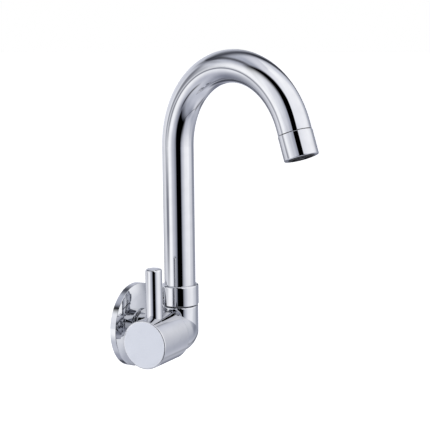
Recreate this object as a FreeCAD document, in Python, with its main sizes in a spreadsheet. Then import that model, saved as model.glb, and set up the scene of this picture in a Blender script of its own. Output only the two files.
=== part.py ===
import FreeCAD, Part
import math
import os
import re
import Sketcher

# Swivel spout sink tap for a wall inlet. Millimetres and degrees.
# World frame: origin on the wall plane at the centre of the inlet, +Z up, the room lies
# towards -Y, the handle points to -X. The wall is everything at Y > 0.

os.makedirs("parts", exist_ok=True)
doc = FreeCAD.newDocument("SwivelSpoutTap")
sheet = doc.addObject("Spreadsheet::Sheet", "Sizes")
sheet.Label = "Sizes"

# Driving sizes: name, amount and what it measures; each stands here once
SIZES = (
    # Layout of the tap
    ("wall_reach", 40.25, "wall plane to the riser axis"),
    ("spout_turn", 16.7, "degrees the resting spout is turned to the handle side"),
    ("arch_start", 131.85, "height at which the spout starts to bend"),
    ("arch_radius", 56.25, "radius of the bend at the tube centre"),
    ("arch_sweep", 160.15, "degrees of bend"),
    ("tube_tail", 4.0, "straight length after the bend"),
    ("tube_radius", 11.0, "outside radius of the spout tube"),
    ("tube_wall", 1.0, "wall of the spout tube"),
    # Wall flange and inlet
    ("flange_radius", 30.3, "outside radius of the wall flange"),
    ("flange_depth", 4.6, "depth of the flange rim"),
    ("flange_roll", 20.0, "radius of the rolled edge of the flange face"),
    ("flange_tilt", 30.0, "slope of the rolled edge at the rim, degrees"),
    ("flange_slope", 8.0, "slope of the flange face where the rolled edge starts, degrees"),
    ("flange_lip", 1.2, "rounding of the flange lip round the shank"),
    ("flange_sheet", 1.4, "thickness of the flange face and rim"),
    ("seal_width", 3.4, "radial width of the flange seal"),
    ("shank_radius", 10.48, "half-inch pipe thread, crest radius"),
    ("shank_tail", 13.0, "length of the shank behind the wall plane"),
    ("shank_bore", 7.2, "radius of the bore in the shank"),
    ("flange_clear", 0.27, "radial clearance of the flange round the shank"),
    ("branch_inset", 0.15, "how much thinner the inlet branch is than the elbow"),
    ("branch_round", 1.5, "rounding of the end of the inlet branch"),
    ("branch_start", 9.2, "wall plane to the end of the inlet branch"),
    ("passage_radius", 4.2, "radius of the passage beside the seat"),
    # Valve body
    ("barrel_wall", 3.0, "wall of the barrel behind the handle"),
    ("barrel_end", 16.4, "riser axis to the shoulder behind the handle"),
    ("dome_start", 8.0, "riser axis to the start of the domed corner"),
    ("neck_wall", 2.6, "wall of the neck inside the handle"),
    ("neck_length", 7.6, "length of the neck past the shoulder"),
    ("seat_level", 1.0, "riser axis to the valve seat"),
    ("seat_wall", 2.2, "thickness of the seat wall"),
    ("seat_bore", 5.2, "radius of the hole in the seat"),
    ("chamber_gap", 0.3, "clearance of the chamber round the cartridge"),
    ("outflow_step", 2.0, "how much wider the chamber is beside the cage windows"),
    ("rise_step", 1.8, "how much narrower the passage up to the spigot is than its bore"),
    # Swivel joint
    ("shoulder_rise", 4.0, "height of the shoulder under the collar above the barrel"),
    ("washer_thick", 0.7, "thickness of the swivel washer"),
    ("shoulder_round", 1.1, "rounding of the shoulder under the collar"),
    ("collar_wall", 2.1, "wall of the collar round the tube"),
    ("collar_step", 0.45, "how far the collar stands out past the body"),
    ("collar_height", 14.3, "height of the collar"),
    ("collar_round", 1.3, "rounding of the upper collar edge"),
    ("collar_heel", 0.4, "rounding of the lower collar edge"),
    ("spigot_top", 52.0, "height of the top of the spigot"),
    ("spigot_wall", 3.13, "wall of the spigot"),
    ("swivel_fit", 0.07, "radial clearance of the spigot in the tube"),
    ("ring_gland", 1.58, "radial depth of the swivel ring grooves"),
    ("ring_slack", 0.01, "clearance left round each rubber ring"),
    ("bush_depth", 1.0, "radial depth of the bush groove"),
    ("bush_height", 4.0, "height of the guide bush"),
    ("screw_groove", 1.4, "depth of the groove for the collar screw"),
    ("grub_radius", 2.0, "radius of the collar screw"),
    # Cartridge
    ("seal_height", 2.5, "height of the seat seal"),
    ("fixed_thick", 3.5, "thickness of the fixed disc"),
    ("moving_thick", 3.0, "thickness of the moving disc"),
    ("disc_radius", 8.3, "radius of the fixed disc"),
    ("port_radius", 2.6, "radius of the ports in both discs"),
    ("port_offset", 4.6, "valve axis to the port centres"),
    ("cage_gap", 0.1, "clearance of the discs in the cage"),
    ("cage_wall", 0.9, "wall of the cage"),
    ("tang_depth", 1.5, "depth of the tang in the moving disc"),
    ("tang_width", 3.2, "width of the tang"),
    ("tang_height", 3.4, "height of the tang"),
    ("foot_inset", 1.3, "how far the stem foot is smaller than the discs"),
    ("foot_thick", 1.7, "thickness of the stem foot"),
    ("glide_thick", 0.5, "thickness of the washer behind the foot"),
    ("stem_radius", 4.9, "radius of the stem"),
    ("stem_fit", 0.07, "radial clearance of the stem in the housing"),
    ("stem_gland", 1.3, "depth of the stem ring grooves"),
    ("thread_step", 0.9, "step from the chamber to the thread in the neck"),
    ("thread_gap", 0.08, "radial clearance of the headwork thread"),
    ("gasket_thick", 0.8, "thickness of the housing gasket"),
    ("head_inset", 0.8, "how far the headwork flange is smaller than the neck"),
    ("head_thick", 1.2, "thickness of the headwork flange"),
    ("hex_inset", 1.33, "how far the corners of the hexagon lie inside the flange"),
    ("hex_height", 3.0, "height of the headwork hexagon"),
    ("nose_wall", 2.03, "wall of the headwork nose round the stem"),
    ("clip_thick", 0.8, "thickness of the stem clip"),
    ("clip_reach", 1.5, "how far the clip stands out of the stem"),
    ("spline_step", 0.95, "how far the spline tips lie inside the stem"),
    ("spline_depth", 0.4, "height of the spline teeth"),
    ("spline_gap", 0.4, "clearance between stem end and hub floor"),
    ("spline_teeth", 20, "number of teeth round the stem"),
    # Handle
    ("hub_wall", 3.5, "wall of the hub round the neck"),
    ("hub_clear", 0.45, "clearance between shoulder and hub"),
    ("hub_length", 31.6, "length of the hub"),
    ("hub_rim", 0.95, "width of the hub rim round the cap"),
    ("hub_round", 0.9, "rounding of the hub's front edge"),
    ("hub_heel", 0.5, "rounding of the hub's rear edge"),
    ("hub_gap", 0.4, "clearance of the hub round the neck"),
    ("cap_thick", 2.0, "thickness of the cap"),
    ("cap_boss", 5.4, "radius of the boss behind the cap"),
    ("lever_radius", 5.75, "radius of the pin lever"),
    ("lever_inset", 13.9, "hub face to the pin lever axis"),
    ("lever_sink", 1.8, "depth of the lever seat in the hub"),
    ("lever_length", 35.35, "length of the pin lever over its seat"),
    ("lever_round", 1.5, "rounding of the lever top"),
    ("stud_radius", 2.5, "radius of the lever stud"),
    ("stud_depth", 6.8, "length of the lever stud"),
    ("screw_radius", 2.0, "radius of the handle screw"),
    ("screw_head", 3.5, "radius of the handle screw head"),
    ("screw_length", 11.0, "length of the handle screw under its head"),
    ("screw_pocket", 3.2, "depth of the screw seat behind the cap"),
    ("screw_floor", 1.5, "thickness of the hub under the screw head"),
    # Outlet
    ("outlet_step", 0.3, "how far the aerator housing stands out past the tube"),
    ("outlet_length", 16.8, "length of the aerator housing"),
    ("seam_gap", 0.45, "open seam between tube and aerator housing"),
    ("ferrule_wall", 1.5, "wall of the outlet ferrule"),
    ("ferrule_inset", 4.0, "length of the ferrule inside the tube"),
    ("ferrule_reach", 8.5, "length of the ferrule below the tube"),
    ("ferrule_gap", 0.05, "clearance round the ferrule"),
    ("outlet_lip", 1.65, "thickness of the lower lip of the housing"),
    ("lip_width", 1.3, "width of the lower lip of the housing"),
    ("insert_wall", 1.25, "wall of the aerator insert"),
    ("insert_bulge", 0.4, "how far the insert stands out of the housing"),
    ("rubber_thick", 1.8, "thickness of the aerator washer"),
    ("plate_thick", 1.2, "thickness of the diffuser plate"),
    ("outer_holes", 12, "number of holes in the outer ring of the plate"),
    ("inner_holes", 6, "number of holes in the inner ring of the plate"),
    ("screen_thick", 0.3, "thickness of one wire screen"),
)

for row, (alias, amount, meaning) in enumerate(SIZES, 1):
    sheet.set("A%d" % row, meaning)
    sheet.set("B%d" % row, str(amount))
    sheet.setAlias("B%d" % row, alias)
doc.recompute()

# Levels and radii that follow from the sizes, written as expressions. Along the valve
# axis every radius grows out of the discs, along the riser out of the spout tube.
CAGE_BORE = "(disc_radius + cage_gap)"
CAGE_OUT = f"({CAGE_BORE} + cage_wall)"
CHAMBER = f"({CAGE_OUT} + chamber_gap)"
OUTFLOW = f"({CHAMBER} + outflow_step)"
BARREL = f"({OUTFLOW} + barrel_wall)"
THREAD = f"({CHAMBER} + thread_step)"
NECK = f"({THREAD} + neck_wall)"
HEAD_OUT = f"({NECK} - head_inset)"
HUB_BORE = f"({NECK} + hub_gap)"
HUB_OUT = f"({HUB_BORE} + hub_wall)"
FOOT_OUT = "(disc_radius - foot_inset)"
STEM_HOLE = "(stem_radius + stem_fit)"
NOSE_OUT = f"({STEM_HOLE} + nose_wall)"
SPLINE = "(stem_radius - spline_step)"

TUBE_BORE = "(tube_radius - tube_wall)"
SPIGOT = f"({TUBE_BORE} - swivel_fit)"
SPIGOT_BORE = f"({SPIGOT} - spigot_wall)"
RISE = f"({SPIGOT_BORE} - rise_step)"
COLLAR_OUT = "(tube_radius + collar_wall)"
ELBOW = f"({COLLAR_OUT} - collar_step)"
BRANCH = f"({ELBOW} - branch_inset)"
SHOULDER = f"({BARREL} + shoulder_rise)"
TUBE_FOOT = f"({SHOULDER} + washer_thick)"

FIXED_LEVEL = "(seat_level + seal_height)"
MOVING_LEVEL = f"({FIXED_LEVEL} + fixed_thick)"
MOVING_TOP = f"({MOVING_LEVEL} + moving_thick)"
TANG_TIP = f"({MOVING_TOP} - tang_depth)"
FOOT_LEVEL = f"({TANG_TIP} + tang_height)"
FOOT_TOP = f"({FOOT_LEVEL} + foot_thick)"
STOP_LEVEL = f"({FOOT_TOP} + glide_thick)"
NECK_END = "(barrel_end + neck_length)"
HEAD_LEVEL = f"({NECK_END} + gasket_thick)"
HEX_LEVEL = f"({HEAD_LEVEL} + head_thick)"
NOSE_END = f"({HEX_LEVEL} + hex_height)"
CLIP_END = f"({NOSE_END} + clip_thick)"
HUB_FLOOR = f"({CLIP_END} + 1.0)"
HUB_START = "(barrel_end + hub_clear)"
HUB_END = f"({HUB_START} + hub_length)"
CAP_LEVEL = f"({HUB_END} - cap_thick)"
SCREW_SEAT = f"({CAP_LEVEL} - screw_pocket)"
SPLINE_END = f"({SCREW_SEAT} - screw_floor - spline_gap)"
LEVER_PLACE = f"({HUB_END} - lever_inset)"
LEVER_SEAT = f"({HUB_OUT} - lever_sink)"
LEVER_TOP = f"({LEVER_SEAT} + lever_length)"

OUTLET = "(tube_radius + outlet_step)"
FERRULE_OUT = f"({TUBE_BORE} - ferrule_gap)"
HOUSING_BORE = f"({TUBE_BORE} + ferrule_gap)"
LIP_BORE = f"({HOUSING_BORE} - lip_width)"
LIP_LEVEL = "(outlet_length - outlet_lip)"
INSERT_TOP = "(ferrule_reach + rubber_thick)"

# Frames in which the pieces are drawn; local Z is each group's own axis
AT_RISER = "placement(vector(0; -Sizes.wall_reach; 0); rotation(vector(0; 0; 1); 0))"
AT_SPOUT = "placement(vector(0; -Sizes.wall_reach; 0); rotation(vector(0; 0; 1); -90 - Sizes.spout_turn))"
AT_VALVE = "placement(vector(0; -Sizes.wall_reach; 0); rotation(vector(0; 1; 0); -90))"
AT_WALL = "placement(vector(0; 0; 0); rotation(vector(1; 0; 0); 90))"
BEND_OUT = ("Sizes.arch_radius * (1 - cos(Sizes.arch_sweep))"
            " + Sizes.tube_tail * sin(Sizes.arch_sweep)")
BEND_UP = ("Sizes.arch_start + Sizes.arch_radius * sin(Sizes.arch_sweep)"
           " + Sizes.tube_tail * cos(Sizes.arch_sweep)")
AT_OUTLET = AT_SPOUT + (" * placement(vector(%s; 0; %s); rotation(vector(0; 1; 0); Sizes.arch_sweep))"
                        % (BEND_OUT, BEND_UP))


def link(expression):
    """Point the size names of an expression at the spreadsheet."""
    return re.sub(r"[a-z]+_[a-z_]+", lambda found: "Sizes." + found.group(0), str(expression))


def value(expression):
    """Work out an expression now, for drawing the geometry it will drive."""
    return float(sheet.evalExpression(str(expression)))


def bind(obj, prop, expression):
    obj.setExpression(prop, link(expression))


def new_body(name, frame):
    body = doc.addObject("PartDesign::Body", name)
    body.Label = name
    body.setExpression("Placement", frame)
    return body


def new_sketch(body, name, plane, level="0"):
    """A sketch on one of the body's own planes, moved along its normal by level."""
    sketch = body.newObject("Sketcher::SketchObject", name)
    for datum in body.Origin.OriginFeatures:
        if datum.Role == plane:
            sketch.AttachmentSupport = [(datum, "")]
    sketch.MapMode = "FlatFace"
    if level != "0":
        bind(sketch, "AttachmentOffset.Base.z", level)
    return sketch


def pin_point(sketch, geometry, point, across, up):
    """Tie one sketch point to the sketch origin by two driven distances."""
    for kind, expression in (("DistanceX", across), ("DistanceY", up)):
        amount = value(expression)
        index = sketch.addConstraint(Sketcher.Constraint(kind, -1, 1, geometry, point, amount))
        if re.search("[a-z]", str(expression)):
            bind(sketch, "Constraints[%d]" % index, expression)


def draw_outline(sketch, corners, domed={}):
    """A closed outline through corners given as pairs of expressions.

    The sides numbered in domed are arcs that bulge upwards: domed gives the radius, and an arc
    without one has its centre on the upright axis.
    """
    spots = [FreeCAD.Vector(value(across), value(up), 0) for across, up in corners]
    count = len(spots)
    ends = []
    for i in range(count):
        here, there = spots[i], spots[(i + 1) % count]
        if i in domed:
            if domed[i]:
                chord = there - here
                side = FreeCAD.Vector(chord.y, -chord.x, 0).normalize()
                drop = math.sqrt(value(domed[i]) ** 2 - chord.Length ** 2 / 4)
                centre = (here + there) * 0.5 + side * (drop if side.y < 0 else -drop)
            else:
                level = (there.Length ** 2 - here.Length ** 2) / (2 * (there.y - here.y))
                centre = FreeCAD.Vector(0, level, 0)
            turns = [math.atan2(spot.y - centre.y, spot.x - centre.x) for spot in (here, there)]
            circle = Part.Circle(centre, FreeCAD.Vector(0, 0, 1), (here - centre).Length)
            sketch.addGeometry(Part.ArcOfCircle(circle, min(turns), max(turns)), False)
            ends.append((1, 2) if turns[0] < turns[1] else (2, 1))
        else:
            sketch.addGeometry(Part.LineSegment(here, there), False)
            ends.append((1, 2))
    for i in range(count):
        after = (i + 1) % count
        sketch.addConstraint(Sketcher.Constraint("Coincident", i, ends[i][1], after, ends[after][0]))
    for i, (across, up) in enumerate(corners):
        pin_point(sketch, i, ends[i][0], across, up)
    for i, radius in domed.items():
        if radius:
            tie = sketch.addConstraint(Sketcher.Constraint("Radius", i, value(radius)))
            bind(sketch, "Constraints[%d]" % tie, radius)
        else:
            sketch.addConstraint(Sketcher.Constraint("PointOnObject", i, 3, -2))


def draw_circle(sketch, across, up, radius):
    """A circle with a driven centre and radius."""
    spot = FreeCAD.Vector(value(across), value(up), 0)
    index = sketch.addGeometry(Part.Circle(spot, FreeCAD.Vector(0, 0, 1), value(radius)), False)
    pin_point(sketch, index, 3, across, up)
    tie = sketch.addConstraint(Sketcher.Constraint("Radius", index, value(radius)))
    bind(sketch, "Constraints[%d]" % tie, radius)


def turned(name, frame, corners, domed={}):
    """A piece turned on a lathe: corners are (radius, height) pairs, domed sides are arcs."""
    body = new_body(name, frame)
    sketch = new_sketch(body, name + "_outline", "XZ_Plane")
    draw_outline(sketch, corners, domed)
    spin = body.newObject("PartDesign::Revolution", name + "_turned")
    spin.Profile = sketch
    spin.ReferenceAxis = (sketch, ["V_Axis"])
    spin.Angle = 360
    sketch.Visibility = False
    return body


def ring(inner, outer, low, high, cut=""):
    """The corners of a plain ring, its outer edges broken by cut when one is given."""
    if not cut:
        return [(inner, low), (outer, low), (outer, high), (inner, high)]
    return [
        (inner, low), ("%s - %s" % (outer, cut), low), (outer, "%s + %s" % (low, cut)),
        (outer, "%s - %s" % (high, cut)), ("%s - %s" % (outer, cut), high), (inner, high),
    ]


def take(body, sketch, length="", back=False, both=False):
    """Cut a sketch out of the body: a length one way, or right through both ways."""
    cut = body.newObject("PartDesign::Pocket", sketch.Name + "_cut")
    cut.Profile = sketch
    if both:
        cut.Type = "ThroughAll"
        cut.Midplane = True
    else:
        cut.Type = "Length"
        bind(cut, "Length", length)
        cut.Reversed = back
    sketch.Visibility = False
    body.Tip = cut
    return cut


def give(body, sketch, length, back=False):
    """Add a sketch to the body as a pad of the given length."""
    pad = body.newObject("PartDesign::Pad", sketch.Name + "_pad")
    pad.Profile = sketch
    bind(pad, "Length", length)
    pad.Reversed = back
    sketch.Visibility = False
    body.Tip = pad
    return pad


def repeat(body, feature, times):
    """Repeat a feature round the body's local Z axis."""
    pattern = body.newObject("PartDesign::PolarPattern", feature.Name + "_round")
    pattern.Originals = [feature]
    for datum in body.Origin.OriginFeatures:
        if datum.Role == "Z_Axis":
            pattern.Axis = (datum, [""])
    pattern.Angle = 360
    bind(pattern, "Occurrences", times)
    body.Tip = pattern
    doc.recompute()
    return pattern


def round_edges(body, radius, wanted):
    """Round the circular edges that the test wanted(edge) accepts."""
    doc.recompute()
    last = body.Tip
    names = []
    for i, edge in enumerate(last.Shape.Edges):
        if wanted(edge):
            names.append("Edge%d" % (i + 1))
    fillet = body.newObject("PartDesign::Fillet", body.Name + "_round")
    fillet.Base = (last, names)
    bind(fillet, "Radius", radius)
    body.Tip = fillet
    return fillet


def circle_at(edge, radius, height):
    """True for a circular edge of this radius at this height on the local axis."""
    curve = edge.Curve
    if not isinstance(curve, Part.Circle):
        return False
    return abs(curve.Radius - radius) < 0.01 and abs(curve.Center.z - height) < 0.01


def cylinder(name, frame, radius, low, high, spot="vector(0; 0; %s)"):
    """A plain cylinder along the local Z of a frame, from low to high."""
    rod = doc.addObject("Part::Cylinder", name)
    bind(rod, "Radius", radius)
    bind(rod, "Height", "(%s) - (%s)" % (high, low))
    rod.setExpression("Placement", "%s * placement(%s; rotation(vector(0; 0; 1); 0))"
                      % (frame, spot % link(low)))
    rod.Visibility = False
    return rod


nodes = []


def node(name, obj):
    """Register an object as a named piece of the tap."""
    obj.Label = name
    nodes.append((name, obj))


# Wall flange: a pressed cup with a low domed face, a rolled edge and a lipped hole for the shank
FLANGE_HOLE = "(shank_radius + flange_clear)"
ROLL_ACROSS = "(flange_radius - flange_roll * sin(flange_tilt))"
ROLL_LEVEL = "(flange_depth - flange_roll * cos(flange_tilt))"
FACE_EDGE = f"({ROLL_ACROSS} + flange_roll * sin(flange_slope))"
FACE_EDGE_LEVEL = f"({ROLL_LEVEL} + flange_roll * cos(flange_slope))"
FACE_RADIUS = f"({FACE_EDGE} / sin(flange_slope))"
FACE_CENTRE = f"({FACE_EDGE_LEVEL} - {FACE_RADIUS} * cos(flange_slope))"
FACE_TOP = f"({FACE_CENTRE} + sqrt({FACE_RADIUS} ^ 2 - {FLANGE_HOLE} ^ 2))"
RIM_INSIDE = "(flange_radius - flange_sheet)"


def under_roll(radius):
    """Height of the underside of the rolled edge at this radius."""
    return (f"({ROLL_LEVEL} + sqrt((flange_roll - flange_sheet) ^ 2"
            f" - ({radius} - {ROLL_ACROSS}) ^ 2))")


flange = turned("wall_flange", AT_WALL, [
    (FLANGE_HOLE, f"{FACE_CENTRE} + sqrt(({FACE_RADIUS} - flange_sheet) ^ 2 - {FLANGE_HOLE} ^ 2)"),
    (f"{FACE_EDGE} - flange_sheet * sin(flange_slope)",
     f"{FACE_EDGE_LEVEL} - flange_sheet * cos(flange_slope)"),
    (RIM_INSIDE, under_roll(RIM_INSIDE)),
    (RIM_INSIDE, "0"),
    ("flange_radius", "0"),
    ("flange_radius", "flange_depth"),
    (FACE_EDGE, FACE_EDGE_LEVEL),
    (FLANGE_HOLE, FACE_TOP),
], domed={0: "", 1: "flange_roll - flange_sheet", 5: "flange_roll", 6: ""})
round_edges(flange, "0.35", lambda e: circle_at(e, value("flange_radius"), value("flange_depth")))
round_edges(flange, "flange_lip", lambda e: circle_at(e, value(FLANGE_HOLE), value(FACE_TOP)))
node("wall_flange", flange)

SEAL_INSIDE = f"({RIM_INSIDE} - seal_width)"
SEAL_OUTSIDE = f"({RIM_INSIDE} - 0.1)"
seal = turned("flange_seal", AT_WALL, [
    (SEAL_INSIDE, "0"),
    (SEAL_OUTSIDE, "0"),
    (SEAL_OUTSIDE, under_roll(SEAL_OUTSIDE)),
    (SEAL_INSIDE, under_roll(SEAL_INSIDE)),
])
node("flange_seal", seal)

# Valve body: inlet, barrel, dome, riser and spigot joined, then the water ways cut out
inlet = turned("inlet_stub", AT_WALL, [
    ("0", "-shank_tail"),
    ("shank_radius - 1.0", "-shank_tail"),
    ("shank_radius", "1.0 - shank_tail"),
    ("shank_radius", "flange_depth - flange_sheet - 1.2"),
    ("shank_radius - 0.9", "flange_depth - flange_sheet - 1.2"),
    ("shank_radius - 0.9", "flange_depth - flange_sheet - 0.2"),
    ("shank_radius", "flange_depth - flange_sheet - 0.2"),
    ("shank_radius", "branch_start"),
    (BRANCH, "branch_start"),
    (BRANCH, "wall_reach"),
    ("0", "wall_reach"),
])
round_edges(inlet, f"min(branch_round; {BRANCH} - shank_radius - 0.3)",
            lambda e: circle_at(e, value(BRANCH), value("branch_start")))

barrel = turned("barrel_stub", AT_VALVE, [
    ("0", "dome_start"),
    (BARREL, "dome_start"),
    (BARREL, "barrel_end - 0.4"),
    (f"{BARREL} - 0.4", "barrel_end"),
    (NECK, "barrel_end"),
    (NECK, f"{NECK_END} - 0.3"),
    (f"{NECK} - 0.3", NECK_END),
    ("0", NECK_END),
])

RING_LOW = "spigot_top - 15.0"
RING_HIGH = "spigot_top - 10.0"
BUSH_LOW = "spigot_top - 1.6 - bush_height"
GRUB_LEVEL = TUBE_FOOT + " + collar_height / 2"
spigot = turned("spigot_stub", AT_RISER, [
    ("0", "0"),
    (ELBOW, "0"),
    (ELBOW, SHOULDER),
    (SPIGOT, SHOULDER),
    (SPIGOT, GRUB_LEVEL + " - 1.6"),
    (SPIGOT + " - screw_groove", GRUB_LEVEL + " - 1.6"),
    (SPIGOT + " - screw_groove", GRUB_LEVEL + " + 1.6"),
    (SPIGOT, GRUB_LEVEL + " + 1.6"),
    (SPIGOT, RING_LOW + " - 1.1"),
    (SPIGOT + " - ring_gland", RING_LOW + " - 1.1"),
    (SPIGOT + " - ring_gland", RING_LOW + " + 1.1"),
    (SPIGOT, RING_LOW + " + 1.1"),
    (SPIGOT, RING_HIGH + " - 1.1"),
    (SPIGOT + " - ring_gland", RING_HIGH + " - 1.1"),
    (SPIGOT + " - ring_gland", RING_HIGH + " + 1.1"),
    (SPIGOT, RING_HIGH + " + 1.1"),
    (SPIGOT, BUSH_LOW),
    (SPIGOT + " - bush_depth", BUSH_LOW),
    (SPIGOT + " - bush_depth", BUSH_LOW + " + bush_height"),
    (SPIGOT, BUSH_LOW + " + bush_height"),
    (SPIGOT, "spigot_top - 0.6"),
    (SPIGOT + " - 0.6", "spigot_top"),
    ("0", "spigot_top"),
])
round_edges(spigot, "shoulder_round", lambda e: circle_at(e, value(ELBOW), value(SHOULDER)))

dome = doc.addObject("Part::Ellipsoid", "corner_dome")
bind(dome, "Radius1", f"dome_start + {ELBOW} - 0.25")
bind(dome, "Radius2", BARREL)
bind(dome, "Radius3", BARREL)
dome.Angle1 = -90
dome.Angle2 = 0
dome.setExpression("Placement", AT_VALVE + " * placement(vector(0; 0; Sizes.dome_start);"
                   " rotation(vector(0; 0; 1); 0))")
corner = doc.addObject("Part::Sphere", "corner_ball")
bind(corner, "Radius", ELBOW)
corner.setExpression("Placement", AT_RISER)

casting = doc.addObject("Part::MultiFuse", "body_casting")
casting.Shapes = [inlet, barrel, spigot, dome, corner]

SIDE = "passage_radius + seat_wall - seat_level"
chamber = turned("chamber_tool", AT_VALVE, [
    ("0", "seat_level"),
    (CHAMBER, "seat_level"),
    (CHAMBER, "seat_level + 6.0"),
    (OUTFLOW, "seat_level + 7.0"),
    (OUTFLOW, "barrel_end - 1.9"),
    (CHAMBER, "barrel_end - 0.9"),
    (CHAMBER, "barrel_end + 0.6"),
    (THREAD, "barrel_end + 0.6"),
    (THREAD, f"{NECK_END} + 1.0"),
    ("0", f"{NECK_END} + 1.0"),
])
shank_hole = cylinder("shank_hole", AT_WALL, "shank_bore", "-shank_tail - 1", "wall_reach - 17.5")
side_hole = cylinder("side_hole", AT_WALL, "passage_radius", "wall_reach - 20.0", "wall_reach + 4.4",
                     "vector(%s; 0; %%s)" % link(SIDE))
seat_hole = cylinder("seat_hole", AT_VALVE, "seat_bore", "-(%s)" % SIDE, "seat_level + 0.5")
spigot_hole = cylinder("spigot_hole", AT_RISER, SPIGOT_BORE, f"{SHOULDER} - 4.5", "spigot_top + 1")
rise_hole = cylinder("rise_hole", AT_RISER, RISE, "5.0", f"{SHOULDER} - 3.0",
                     "vector(-(%s); 0; %%s)" % link(f"{RISE} + seat_level + 0.2"))
valve_body = doc.addObject("Part::Cut", "valve_body")
waterways = doc.addObject("Part::MultiFuse", "waterways")
waterways.Shapes = [chamber, shank_hole, side_hole, seat_hole, spigot_hole, rise_hole]
valve_body.Base = casting
valve_body.Tool = waterways
node("valve_body", valve_body)

# Cartridge: seal, ceramic discs, stem and the headwork that holds them
seat_seal = turned("seat_seal", AT_VALVE, ring(
    "disc_radius - 1.0", "disc_radius", "seat_level", FIXED_LEVEL, "0.3"))
node("seat_seal", seat_seal)

fixed_disc = turned("fixed_disc", AT_VALVE, ring("0", "disc_radius", FIXED_LEVEL, MOVING_LEVEL))
keys = new_sketch(fixed_disc, "fixed_keys", "XY_Plane", FIXED_LEVEL)
KEY_OUT = CAGE_OUT + " - 0.1"
draw_outline(keys, [("-(%s)" % KEY_OUT, "-1.25"), (KEY_OUT, "-1.25"), (KEY_OUT, "1.25"),
                    ("-(%s)" % KEY_OUT, "1.25")])
give(fixed_disc, keys, "fixed_thick")
fixed_ports = new_sketch(fixed_disc, "fixed_ports", "XY_Plane", FIXED_LEVEL)
draw_circle(fixed_ports, "0", "port_offset", "port_radius")
draw_circle(fixed_ports, "0", "-port_offset", "port_radius")
take(fixed_disc, fixed_ports, both=True)
node("fixed_disc", fixed_disc)

moving_disc = turned("moving_disc", AT_VALVE, ring(
    "0", "disc_radius - cage_gap", MOVING_LEVEL, MOVING_TOP, "0.25"))
moving_ports = new_sketch(moving_disc, "moving_ports", "XY_Plane", MOVING_LEVEL)
draw_circle(moving_ports, "port_offset", "0", "port_radius")
draw_circle(moving_ports, "-port_offset", "0", "port_radius")
take(moving_disc, moving_ports, both=True)
slot = new_sketch(moving_disc, "moving_slot", "XY_Plane", MOVING_TOP)
HALF_SLOT = "tang_width / 2 + 0.1"
draw_outline(slot, [("-(%s)" % HALF_SLOT, f"-{FOOT_OUT}"), (HALF_SLOT, f"-{FOOT_OUT}"),
                    (HALF_SLOT, FOOT_OUT), ("-(%s)" % HALF_SLOT, FOOT_OUT)])
take(moving_disc, slot, "tang_depth + 0.1")
node("moving_disc", moving_disc)

RING_ONE = STOP_LEVEL + " + 3.5"
RING_TWO = STOP_LEVEL + " + 7.0"
spindle = turned("cartridge_spindle", AT_VALVE, [
    ("0", FOOT_LEVEL),
    (FOOT_OUT, FOOT_LEVEL),
    (FOOT_OUT, FOOT_TOP),
    ("stem_radius", FOOT_TOP),
    ("stem_radius", RING_ONE + " - 0.9"),
    ("stem_radius - stem_gland", RING_ONE + " - 0.9"),
    ("stem_radius - stem_gland", RING_ONE + " + 0.9"),
    ("stem_radius", RING_ONE + " + 0.9"),
    ("stem_radius", RING_TWO + " - 0.9"),
    ("stem_radius - stem_gland", RING_TWO + " - 0.9"),
    ("stem_radius - stem_gland", RING_TWO + " + 0.9"),
    ("stem_radius", RING_TWO + " + 0.9"),
    ("stem_radius", NOSE_END + " + 0.05"),
    ("stem_radius - 1.0", NOSE_END + " + 0.05"),
    ("stem_radius - 1.0", CLIP_END + " + 0.15"),
    ("stem_radius - 0.3", CLIP_END + " + 0.15"),
    ("stem_radius - 0.3", CLIP_END + " + 0.8"),
    (f"{SPLINE} - spline_depth", CLIP_END + " + 0.8"),
    (f"{SPLINE} - spline_depth", f"{SPLINE_END} - 0.3"),
    (f"{SPLINE} - spline_depth - 0.3", SPLINE_END),
    ("0", SPLINE_END),
])
tang = new_sketch(spindle, "spindle_tang", "XY_Plane", FOOT_LEVEL)
draw_outline(tang, [("-tang_width / 2", f"0.2 - {FOOT_OUT}"), ("tang_width / 2", f"0.2 - {FOOT_OUT}"),
                    ("tang_width / 2", f"{FOOT_OUT} - 0.2"), ("-tang_width / 2", f"{FOOT_OUT} - 0.2")])
give(spindle, tang, "tang_height", back=True)
TOOTH = f"({SPLINE} - spline_depth) * 3 / spline_teeth"
tooth = new_sketch(spindle, "spline_tooth", "XY_Plane", CLIP_END + " + 0.8")
draw_outline(tooth, [
    (f"{SPLINE} - spline_depth - 0.15", "-(%s)" % TOOTH), (SPLINE, "-(%s) / 3" % TOOTH),
    (SPLINE, "(%s) / 3" % TOOTH), (f"{SPLINE} - spline_depth - 0.15", TOOTH)])
tooth_pad = give(spindle, tooth, f"{SPLINE_END} - {CLIP_END} - 1.2")
repeat(spindle, tooth_pad, "spline_teeth")
screw_hole = new_sketch(spindle, "spindle_screw_hole", "XY_Plane", SPLINE_END)
draw_circle(screw_hole, "0", "0", "screw_radius + 0.05")
take(spindle, screw_hole, "screw_length - 1.0")
node("cartridge_spindle", spindle)


def o_rings(name, frame, centre, section, levels):
    """Round-section rings that share one node, one at each level."""
    rings = []
    for number, level in enumerate(levels):
        torus = doc.addObject("Part::Torus", "%s_%d" % (name, number + 1))
        bind(torus, "Radius1", centre)
        bind(torus, "Radius2", section)
        torus.setExpression("Placement", "%s * placement(vector(0; 0; %s); rotation(vector(0; 0; 1); 0))"
                            % (frame, link(level)))
        torus.Visibility = False
        rings.append(torus)
    group = doc.addObject("Part::Compound", name)
    group.Links = rings
    return group


STEM_RING = "(stem_gland + stem_fit) / 2"
spindle_rings = o_rings("spindle_o_rings", AT_VALVE, "stem_radius - stem_gland + " + STEM_RING,
                        STEM_RING + " - ring_slack", [RING_ONE, RING_TWO])
node("spindle_o_rings", spindle_rings)

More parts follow.
